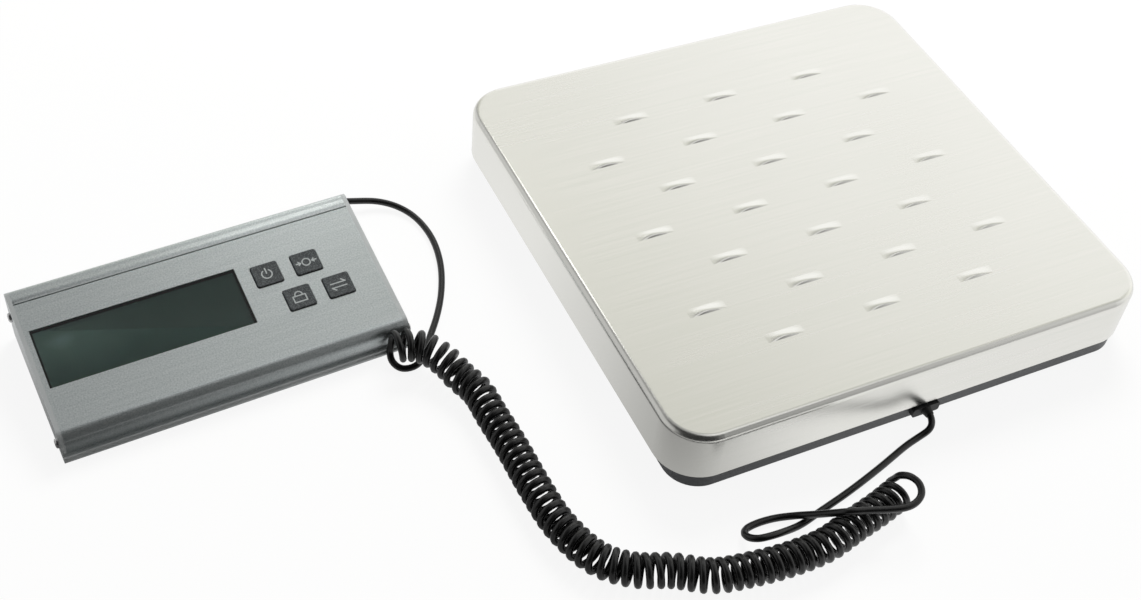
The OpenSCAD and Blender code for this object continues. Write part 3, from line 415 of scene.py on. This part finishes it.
def polariserFilm():
    # Polariser film over a liquid crystal cell: dark green grey, made paler on the left by a painted
    # reflection, with a black mask round it
    material, tree = newMaterial("polariserFilm")
    place = inFrame(tree, faceFrame)
    p = glassParts
    across, down = p["middle"]
    centred = put(tree, "ShaderNodeVectorMath", {0: place, 1: (across * mm, down * mm, 0)},
                  operation="SUBTRACT").outputs[0]
    size = put(tree, "ShaderNodeVectorMath", {0: centred}, operation="ABSOLUTE").outputs[0]
    inner = [(half - p["border"]) * mm for half in p["half"]]
    over = put(tree, "ShaderNodeVectorMath", {0: size, 1: (*inner, 1)}, operation="SUBTRACT").outputs[0]
    apart = put(tree, "ShaderNodeSeparateXYZ", {0: over}).outputs
    edge = put(tree, "ShaderNodeMath", {0: apart["X"], 1: apart["Y"]}, operation="MAXIMUM").outputs[0]
    mask = put(tree, "ShaderNodeMapRange", {
        "Value": edge, "From Min": -p["borderBlur"] * mm, "From Max": p["borderBlur"] * mm}).outputs[0]
    # painted reflection: the film is paler round this place and fades to its own tone over the reach
    across, down = p["paintedReflection"]
    paintedReflection = put(tree, "ShaderNodeMapping", {
        "Vector": centred, "Scale": (1, p["paintedReflectionSquash"], 1),
        "Location": (-across * mm, -p["paintedReflectionSquash"] * down * mm, 0)}).outputs[0]
    away = put(tree, "ShaderNodeVectorMath", {0: paintedReflection}, operation="LENGTH").outputs["Value"]
    cloud = put(tree, "ShaderNodeTexNoise", {"Vector": place, "Scale": 60, "Detail": 3}).outputs[0]
    away = put(tree, "ShaderNodeMath", {0: cloud, 1: 0.02, 2: away},
               operation="MULTIPLY_ADD").outputs[0]
    paintedReflectionShare = put(tree, "ShaderNodeMapRange", {
        "Value": away, "From Min": 0, "From Max": p["paintedReflectionReach"] * mm}).outputs[0]
    # the two paler stops are the painted reflection, and the last is the film's own dark green grey
    tone = put(tree, "ShaderNodeValToRGB", {0: paintedReflectionShare},
               stops=[(0.0, "#7d9592"), (0.35, "#5c736d"), (1.0, "#445d56")]).outputs[0]
    tone = put(tree, "ShaderNodeMix", {0: mask, 6: tone, 7: "#070a09"}, data_type="RGBA").outputs[2]
    finishMaterial(tree, baseColour=tone, roughness=0.5, ior=1.5, specular=0.1)
    return material


def solderMask():
    # Solder mask over glass fibre: deep green, a little glossy, with the weave just showing
    material, tree = newMaterial("solderMask")
    place = put(tree, "ShaderNodeTexCoord").outputs["Object"]
    weave = put(tree, "ShaderNodeTexChecker", {"Vector": place, "Scale": 1250}).outputs["Fac"]
    tone = put(tree, "ShaderNodeValToRGB", {0: weave},
               stops=[(0.0, "#0f4a2c"), (1.0, "#135534")]).outputs[0]
    finishMaterial(tree, baseColour=tone, roughness=0.3, ior=1.55)
    return material


def batterySleeve():
    # Shrink sleeve over a battery cell: black and glossy
    material, tree = newMaterial("batterySleeve")
    place = put(tree, "ShaderNodeTexCoord").outputs["Object"]
    cloud = put(tree, "ShaderNodeTexNoise", {"Vector": place, "Scale": 100}).outputs[0]
    tone = put(tree, "ShaderNodeValToRGB", {0: cloud},
               stops=[(0.3, "#141416"), (0.7, "#1c1c1f")]).outputs[0]
    finishMaterial(tree, baseColour=tone, roughness=0.25, ior=1.5, coat=0.5)
    return material


finishes = {
    "brushed_cover": brushedSteel(),
    "grey_plastic": mouldedPlastic("greyAbs", "#56585b", "#4b4d50", roughness=0.4, grit=0.5),
    "steel": platedSteel("nickelPlatedSteel", "#cfcfce", "#b9b9ba"),
    "black_rubber": rubber("nitrileRubber", "#1c1c1c", "#121212", roughness=0.5),
    "circuit_board": solderMask(),
    "satin_aluminium": anodisedAluminium(),
    "silver_plastic": mouldedPlastic("silverAbs", "#c3c6c6", "#b9bdbd", roughness=0.35, grit=0.5,
                                     metallic=0.7),
    "battery_sleeve": batterySleeve(),
    "display_glass": polariserFilm(),
    "window": windowAcrylic(),
    "key_plastic": keySilicone(),
    "black_cord": rubber("softPvcSheath", "#0f0f0f", "#090909", roughness=0.25),
}
padInk = mouldedPlastic("padPrintInk", "#a9adac", "#8d9291", roughness=0.5, grit=0.3)
slotOf = {part["node"]: part["material_slot"] for part in frame["record"]["subparts"]}
for name, thing in nodes.items():
    for slot in thing.material_slots:
        slot.material = finishes[slotOf[name]]
cord.data.materials.append(finishes["black_cord"])

print("stage 4: keys, marks, bead, screws and boots")
# Edges that turn by more than this many degrees stay sharp
sharpAngle = 35


def makePiece(name, mesh, body, slotName, replaced=(), material=None):
    # One piece of the object from a bmesh in metres: placed, finished and riding on its body
    data = bpy.data.meshes.new(name)
    bmesh.ops.recalc_face_normals(mesh, faces=mesh.faces)
    mesh.to_mesh(data)
    mesh.free()
    data.materials.append(material or finishes[slotName])
    data.shade_smooth()
    data.set_sharp_from_angle(angle=math.radians(sharpAngle))
    piece = link(bpy.data.objects.new(name, data))
    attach(piece, body)
    if replaced:
        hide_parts(*replaced)


def skin(mesh, rings, place):
    # Joins closed rings of equal length, given in millimetres, and closes both ends
    made = [[mesh.verts.new(place @ (Vector(p) * mm)) for p in ring] for ring in rings]
    for a, b in zip(made, made[1:]):
        for k in range(len(a)):
            mesh.faces.new((a[k], a[(k + 1) % len(a)], b[(k + 1) % len(a)], b[k]))
    mesh.faces.new(list(reversed(made[0])))
    mesh.faces.new(made[-1])


def lathe(mesh, profile, place, sides=40):
    # Turns a profile of (radius, height) pairs, in millimetres, about the frame's z axis
    turns = [2 * math.pi * k / sides for k in range(sides)]
    skin(mesh, [[(r * math.cos(a), r * math.sin(a), z) for a in turns] for r, z in profile], place)


def roundedRing(width, depth, radius, z, steps=6):
    # A rectangle with round corners, as points that run round it
    ring = []
    for k, (sx, sy) in enumerate([(1, 1), (-1, 1), (-1, -1), (1, -1)]):
        for i in range(steps + 1):
            a = math.radians(90 * (k + i / steps))
            ring.append((sx * (width / 2 - radius) + radius * math.cos(a),
                         sy * (depth / 2 - radius) + radius * math.sin(a), z))
    return ring


# A key: its cap, the flange that keeps it in, and its stem. Heights are above the face, and places
# are across the face and down it from its back edge
keyParts = {
    "width": 15.5, "depth": 14.4, "corner": 1.5, "rise": 1, "edge": 0.5, "edgeSteps": 4,
    "cornerShare": 0.5, "dish": 0.25, "dishRings": (0.85, 0.6, 0.3, 0.05), "flange": 1,
    "flangeTop": -2.3, "flangeBottom": -3.1, "stemRadius": 3, "stemEnd": -4.7, "stemBevel": 0.3,
    "places": {"key_power": (36.9, 39.8), "key_zero": (60.4, 39.8), "key_hold": (48.3, 60.6),
               "key_unit": (71.8, 60.6)},
}


def keyFrame(name):
    across, down = keyParts["places"][name]
    return faceFrame @ Matrix.Translation(Vector((across, -down, 0)) * mm)


def makeKey(name):
    p = keyParts
    w, d, c, top, wider = p["width"], p["depth"], p["corner"], p["rise"], p["flange"]
    rings = [roundedRing(w + 2 * wider, d + 2 * wider, c + wider, p["flangeBottom"]),
             roundedRing(w + 2 * wider, d + 2 * wider, c + wider, p["flangeTop"]),
             roundedRing(w, d, c, p["flangeTop"])]
    # the cap's rim is rounded over, and its top is a little hollow for the fingertip
    for i in range(p["edgeSteps"] + 1):
        a = math.radians(90 * i / p["edgeSteps"])
        inset = p["edge"] * (1 - math.cos(a))
        rings.append(roundedRing(w - 2 * inset, d - 2 * inset, c - inset * p["cornerShare"],
                                 top - p["edge"] + p["edge"] * math.sin(a)))
    for share in p["dishRings"]:
        rings.append(roundedRing(share * w, share * d, c * share, top - p["dish"] * (1 - share ** 2)))
    mesh = bmesh.new()
    skin(mesh, rings, keyFrame(name))
    stem = [(p["stemRadius"] - p["stemBevel"], p["stemEnd"]),
            (p["stemRadius"], p["stemEnd"] + p["stemBevel"]), (p["stemRadius"], p["flangeBottom"])]
    lathe(mesh, stem, keyFrame(name))
    makePiece(name.replace("_", "") + "Cap", mesh, name + "_body", "key_plastic", [name])


for keyName in keyParts["places"]:
    makeKey(keyName)

# The pressed marks of the weighing face, in rows that are staggered: each is a long swell that
# falls off steeply towards the front and gently towards the back. What rises by less than the rim
# dips just under the face, and the rest stands clear of it
markParts = {
    "length": 24, "height": 1.0, "ridge": -0.4, "front": -2.5, "back": 4.0, "steepness": 2.5,
    "rows": 7, "perRow": 3, "pitch": 32, "forward": 3.3, "faceHeight": 45.5, "middle": (147.2, 0.75),
    "stepsAlong": 24, "stepsAcross": 20, "rim": 0.001, "least": 0.02,
}


def markRise(along, across):
    # along runs from -1 to 1; across is in millimetres from the mark's middle
    p = markParts
    if across < p["ridge"]:
        fall = 1 - ((p["ridge"] - across) / (p["ridge"] - p["front"])) ** p["steepness"]
    else:
        fall = math.cos(math.pi / 2 * (across - p["ridge"]) / (p["back"] - p["ridge"])) ** 2
    return p["height"] * math.cos(math.pi / 2 * along) ** 2 * fall


def addMark(mesh, x, y):
    p = markParts
    grid = []
    for a in range(p["stepsAlong"] + 1):
        along = 2 * a / p["stepsAlong"] - 1
        line = []
        for b in range(p["stepsAcross"] + 1):
            across = p["front"] + (p["back"] - p["front"]) * b / p["stepsAcross"]
            rise = markRise(along, across)
            z = p["faceHeight"] + rise + (p["least"] if rise > p["rim"] else -p["least"])
            line.append(mesh.verts.new(Vector((x + along * p["length"] / 2, y + across, z)) * mm))
        grid.append(line)
    for a in range(p["stepsAlong"]):
        for b in range(p["stepsAcross"]):
            mesh.faces.new((grid[a][b], grid[a + 1][b], grid[a + 1][b + 1], grid[a][b + 1]))


def makeMarks():
    p = markParts
    mesh = bmesh.new()
    for row in range(p["rows"]):
        # every second row has one mark more
        extra = row % 2
        for i in range(p["perRow"] + extra):
            addMark(mesh, p["middle"][0] + (2 * i - (p["perRow"] - 1) - extra) * p["pitch"],
                    p["middle"][1] + (row - (p["rows"] - 1) / 2) * p["pitch"] - p["forward"])
    makePiece("gripMarks", mesh, "platform_top", "brushed_cover")


makeMarks()

# Generic signs printed on the keys, as strokes of (x, y) points in millimetres. A stroke laps over
# both of its points by a share of half its width
signParts = {"stroke": 0.75, "lap": 0.7, "thickness": 0.06, "sink": 0.02}


def ringPoints(radius, start, end, steps=20):
    turns = [math.radians(start + (end - start) * i / steps) for i in range(steps + 1)]
    return [(radius * math.cos(a), radius * math.sin(a)) for a in turns]


signs = {
    "key_power": [ringPoints(2.9, 125, 415), [(0, 0.4), (0, 3.9)]],
    "key_zero": [ringPoints(2.3, 0, 360), [(-6, 0), (-3.4, 0)], [(-4.6, 1.1), (-3.4, 0), (-4.6, -1.1)],
                 [(6, 0), (3.4, 0)], [(4.6, 1.1), (3.4, 0), (4.6, -1.1)]],
    "key_hold": [[(-3.6, -3), (3.6, -3), (3.6, 1), (-3.6, 1), (-3.6, -3)],
                 [(-2.1, 1), *[(x, y + 1.6) for x, y in ringPoints(2.1, 180, 0, 10)], (2.1, 1)]],
    "key_unit": [[(-4.4, 1.4), (4.4, 1.4)], [(2.4, 3.2), (4.4, 1.4)], [(-4.4, -1.4), (4.4, -1.4)],
                 [(-2.4, -3.2), (-4.4, -1.4)]],
}


def signHeight(x, y):
    # The print follows the hollow of the key's top
    share = max(abs(x) / (keyParts["width"] / 2), abs(y) / (keyParts["depth"] / 2))
    return keyParts["rise"] - keyParts["dish"] * (1 - min(1, share) ** 2)


def makeSign(name):
    half = signParts["stroke"] / 2
    lap = signParts["lap"]
    mesh = bmesh.new()
    for stroke in signs[name]:
        for (ax, ay), (bx, by) in zip(stroke, stroke[1:]):
            length = math.hypot(bx - ax, by - ay)
            ux, uy = (bx - ax) / length, (by - ay) / length
            corners = []
            for x, y, along, side in ((ax, ay, -lap, 1), (ax, ay, -lap, -1),
                                      (bx, by, lap, -1), (bx, by, lap, 1)):
                corners.append((x + half * (along * ux - side * uy),
                                y + half * (along * uy + side * ux)))
            rings = [[(x, y, signHeight(x, y) + lift) for x, y in corners]
                     for lift in (-signParts["sink"], signParts["thickness"])]
            skin(mesh, rings, keyFrame(name))
    makePiece(name.replace("_", "") + "Sign", mesh, name + "_body", "key_plastic", material=padInk)


for keyName in signs:
    makeSign(keyName)

# A low swell along the face: it rises gently from the back and narrows the groove in front of it.
# It sinks away at its ends: each pair is a place, of 1 at the tip, and the share of the height there
beadParts = {
    "length": 193.5, "back": -5.2, "ridge": -8.3, "front": -10.5, "height": 0.35, "sink": 0.3,
    "steps": 8, "ends": [(0.99, 1), (0.998, 0.7), (1, 0.1)],
}


def makeBead():
    p = beadParts
    across = [p["back"] + (p["ridge"] - p["back"]) * k / p["steps"] for k in range(p["steps"])]
    across += [p["ridge"] + (p["front"] - p["ridge"]) * k / p["steps"] for k in range(p["steps"] + 1)]
    rings = []
    for side, swell in [(-side, swell) for side, swell in reversed(p["ends"])] + p["ends"]:
        ring = [(side * p["length"] / 2, y, -p["sink"]) for y in (p["front"], p["back"])]
        for y in across:
            foot = p["back"] if y > p["ridge"] else p["front"]
            fall = math.cos(math.pi / 2 * (y - p["ridge"]) / (foot - p["ridge"])) ** 2
            ring.append((side * p["length"] / 2, y, swell * p["height"] * fall))
        rings.append(ring)
    mesh = bmesh.new()
    skin(mesh, rings, faceFrame)
    makePiece("faceBead", mesh, "base", "satin_aluminium")


makeBead()

# A pan head screw with a cross recess that narrows towards its foot. The dome is in shares of the
# head's radius and height, and the tip, the foot and the mouth are shares of the sizes they narrow
screwParts = {
    "headRadius": 2.8, "headHeight": 1.8, "shankRadius": 1.45, "tip": 0.4, "taper": 0.6,
    "dome": [(1, 0), (1, 0.35), (0.94, 0.65), (0.78, 0.87), (0.5, 0.98), (0.2, 1)],
    "recess": 1.1, "recessWidth": 0.75, "recessReach": 1.7, "foot": 0.55, "mouth": 1.15, "over": 0.3,
}


def screwMesh(length):
    p = screwParts
    r, h, s = p["headRadius"], p["headHeight"], p["shankRadius"]
    profile = [(p["tip"] * s, -length), (s, p["taper"] - length), (s, 0)]
    profile += [(share * r, up * h) for share, up in p["dome"]]
    mesh = bmesh.new()
    lathe(mesh, profile, Matrix.Identity(4))
    body = bpy.data.meshes.new("screwBlank")
    mesh.to_mesh(body)
    mesh.free()
    w, reach = p["recessWidth"] / 2, p["recessReach"]
    cross = [(w, w), (w, reach), (-w, reach), (-w, w), (-reach, w), (-reach, -w), (-w, -w), (-w, -reach),
             (w, -reach), (w, -w), (reach, -w), (reach, w)]
    cutter = bmesh.new()
    skin(cutter, [[(share * x, share * y, z) for x, y in cross]
                  for share, z in ((p["foot"], h - p["recess"]), (p["mouth"], h + p["over"]))],
         Matrix.Identity(4))
    bmesh.ops.recalc_face_normals(cutter, faces=cutter.faces)
    tool = bpy.data.meshes.new("crossCutter")
    cutter.to_mesh(tool)
    cutter.free()
    blank = link(bpy.data.objects.new("screwBlank", body))
    cut = link(bpy.data.objects.new("crossCutter", tool))
    modifier = blank.modifiers.new("recess", "BOOLEAN")
    modifier.object = cut
    modifier.operation = "DIFFERENCE"
    modifier.solver = "EXACT"
    shaped = bpy.data.meshes.new_from_object(blank.evaluated_get(bpy.context.evaluated_depsgraph_get()))
    for thing in (blank, cut):
        bpy.data.objects.remove(thing)
    return shaped


def makeScrews(name, replaced, length, places):
    one = screwMesh(length)
    mesh = bmesh.new()
    for place in places:
        copy = one.copy()
        copy.transform(place)
        mesh.from_mesh(copy)
        bpy.data.meshes.remove(copy)
    makePiece(name, mesh, "base", "steel", [replaced])


def screwPlace(x, y, z, axis, turn):
    # The head looks along the axis, which is given in the unit's frame
    return (unitFrame @ Matrix.Translation(Vector((x, y, z)) * mm)
            @ Vector(axis).to_track_quat("Z", "Y").to_matrix().to_4x4()
            @ Matrix.Rotation(math.radians(turn), 4, "Z"))


# Side, depth and height of each screw, and the turn in degrees at which its cross came to rest
capScrews = {"half": 99.25, "length": 12, "places": [
    (-1, 41.75, 25.1, 6), (-1, -42.15, 11.9, 37), (1, 41.75, 25.1, 28), (1, -42.15, 11.9, 59)]}
makeScrews("endCapScrews", "end_cap_screws", capScrews["length"],
           [screwPlace(side * capScrews["half"], y, z, (side, 0, 0), turn)
            for side, y, z, turn in capScrews["places"]])
# Side, depth and turn; these look down
plateScrews = {"half": 90.25, "length": 4.1, "height": 4.5, "places": [
    (-1, 43.75, 23), (-1, -40.25, 63), (1, 43.75, 23), (1, -40.25, 63)]}
makeScrews("baseScrews", "display_base_screws", plateScrews["length"],
           [screwPlace(side * plateScrews["half"], y, plateScrews["height"], (0, 0, -1), turn)
            for side, y, turn in plateScrews["places"]])

# Ribbed rubber boot round the cord at the display: radii, and distances out from the back wall. A
# rib starts and reaches its crest at shares of the pitch, and draws in a little towards the next
bootParts = {
    "neck": 3.4, "neckBevel": 0.4, "inside": -3.5, "flange": 4.6, "flangeBevel": 0.6, "flangeEnd": 2,
    "start": 3.0, "end": 2.3, "ribs": 4, "groove": 0.45, "grooveStart": 0.05, "ribStart": 0.45,
    "crest": 0.5, "drawIn": 0.05, "ribGap": 0.02,
}


def makeDisplayBoot():
    p = bootParts
    length = displayParts["glandTail"]
    profile = [(p["neck"] - p["neckBevel"], p["inside"]), (p["neck"], p["inside"] + p["neckBevel"]),
               (p["neck"], 0), (p["flange"], 0), (p["flange"], p["flangeEnd"] - p["flangeBevel"]),
               (p["flange"] - p["flangeBevel"], p["flangeEnd"])]
    pitch = (length - p["flangeEnd"]) / p["ribs"]
    for k in range(p["ribs"]):
        z = p["flangeEnd"] + k * pitch
        r = p["start"] + (p["end"] - p["start"]) * k / (p["ribs"] - 1)
        low = r - p["groove"]
        profile += [(low, z + p["grooveStart"]), (low, z + p["ribStart"] * pitch),
                    (r, z + p["crest"] * pitch), (r - p["drawIn"], z + pitch - p["ribGap"])]
    mesh = bmesh.new()
    place = (unitFrame @ Matrix.Translation(Vector(displayParts["gland"]) * mm)
             @ Matrix.Rotation(math.radians(-90), 4, "X"))
    lathe(mesh, profile, place)
    makePiece("displayBoot", mesh, "base", "black_rubber", ["display_gland"])


makeDisplayBoot()

# A short tapered sleeve on the cord, in front of the flat gland in the tray's wall: radius, and
# distance out from the gland
sleeveParts = {"profile": [(3.1, -0.5), (3.1, 0.6), (2.9, 1.0), (2.5, 3.6), (2.35, 4.0)]}


def makePlatformBoot():
    mesh = bmesh.new()
    place = Matrix.Translation(platformGland * mm) @ Matrix.Rotation(math.radians(90), 4, "X")
    lathe(mesh, sleeveParts["profile"], place)
    makePiece("platformBoot", mesh, "base", "black_rubber")


makePlatformBoot()

print("stage 5: light")
# A wide soft box behind on the right that fades to the dark front left of the room, a strip low in
# front on the right, a fill low on the left, and a small glow overhead. "to" is where each one is,
# and "fall" its brightness against the cosine of the angle away from there
lightParts = {"strength": 1.15, "softBoxes": {
    "wall": {"to": (0.9, 0.8, 0.2), "fall": [
        (0.0, 0.03), (0.25, 0.2), (0.4, 0.36), (0.55, 0.33), (0.7, "#c6c6be"), (0.75, "#d3d3ca"),
        (0.8, "#ededea"), (0.87, 1.0)]},
    "strip": {"to": (0.8, -0.5, 0.33), "fall": [(0.75, 0.0), (0.95, 0.5)]},
    "fill": {"to": (-0.85, 0.5, 0.15), "fall": [(0.6, 0.0), (0.85, 0.5)]},
    "glow": {"to": (0.3, -0.03, 0.92), "fall": [(0.96, 0.0), (0.985, 0.6)]},
}}
# Disk lamps in metres and watts; metal mirrors only the accent, which gives the display unit's
# face its brighter back edge
lamps = {
    "key": {"at": (0.65, 0.8, 1.25), "aim": (0, 0, 0), "size": 0.8, "power": 28, "mirrored": False},
    "accent": {"at": (0.1, 0.66, 0.87), "aim": (-0.15, 0.08, 0.03), "size": 0.22, "power": 0.34,
               "mirrored": True},
}


def makeLight():
    world = bpy.data.worlds.new("studio")
    bpy.context.scene.world = world
    world.use_nodes = True
    tree = world.node_tree
    tree.nodes.clear()
    way = put(tree, "ShaderNodeTexCoord").outputs["Generated"]
    level = (0, 0, 0, 1)
    for box in lightParts["softBoxes"].values():
        facing = put(tree, "ShaderNodeVectorMath", {0: way, 1: Vector(box["to"]).normalized()},
                     operation="DOT_PRODUCT").outputs["Value"]
        fall = put(tree, "ShaderNodeValToRGB", {0: facing}, stops=box["fall"]).outputs[0]
        level = put(tree, "ShaderNodeMix", {0: 1.0, 6: level, 7: fall}, data_type="RGBA",
                    blend_type="ADD").outputs[2]
    soft = put(tree, "ShaderNodeBackground", {
        "Color": level, "Strength": lightParts["strength"]}).outputs[0]
    white = put(tree, "ShaderNodeBackground", {"Color": (1, 1, 1, 1), "Strength": 1.0}).outputs[0]
    seen = put(tree, "ShaderNodeLightPath").outputs["Is Camera Ray"]
    shown = put(tree, "ShaderNodeMixShader", {0: seen, 1: soft, 2: white}).outputs[0]
    put(tree, "ShaderNodeOutputWorld", {"Surface": shown})

    for name, p in lamps.items():
        lamp = bpy.data.lights.new(name, "AREA")
        lamp.shape = "DISK"
        lamp.size = p["size"]
        lamp.energy = p["power"]
        stand = link(bpy.data.objects.new(name, lamp))
        stand.location = p["at"]
        stand.rotation_euler = (Vector(p["at"]) - Vector(p["aim"])).to_track_quat("Z", "Y").to_euler()
        stand.visible_glossy = p["mirrored"]


makeLight()
